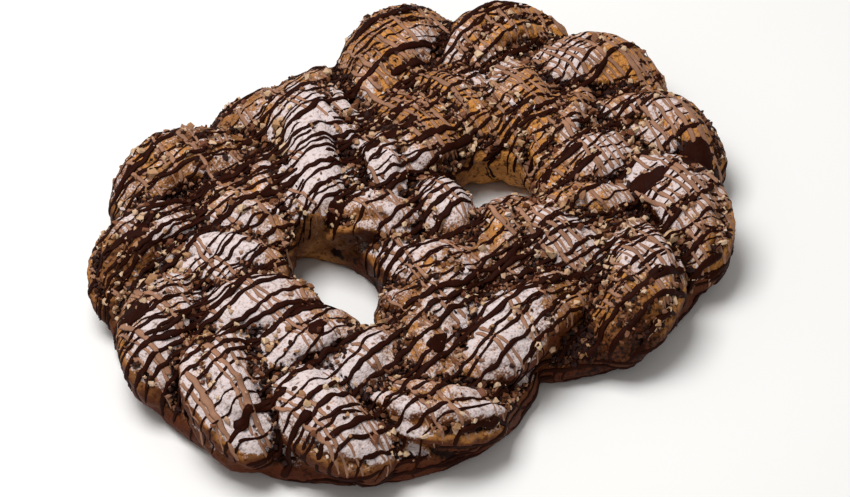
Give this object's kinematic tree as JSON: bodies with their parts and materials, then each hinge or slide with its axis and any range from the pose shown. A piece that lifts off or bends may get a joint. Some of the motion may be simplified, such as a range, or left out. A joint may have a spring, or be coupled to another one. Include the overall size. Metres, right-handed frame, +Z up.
{
  "type": "kringle",
  "caption": "Plaited sweet yeast bread laid in a figure of eight around a pair of holes, with icing sugar, chopped nuts and crossed chocolate drizzle, lying flat on its underside.",
  "frame": {"origin": "middle of the footprint, on the flat underside", "axes": "+X along the figure of eight from hole to hole, +Y across it, +Z up"},
  "size_m": [0.4215, 0.3215, 0.0686],
  "materials": {
    "baked_dough": "satin",
    "dark_chocolate": "satin",
    "milk_chocolate": "satin",
    "chopped_nuts": "matte",
    "crumbs": "matte"
  },
  "bodies": {
    "root": {"kringle": "baked_dough"}
  },
  "joints": []
}
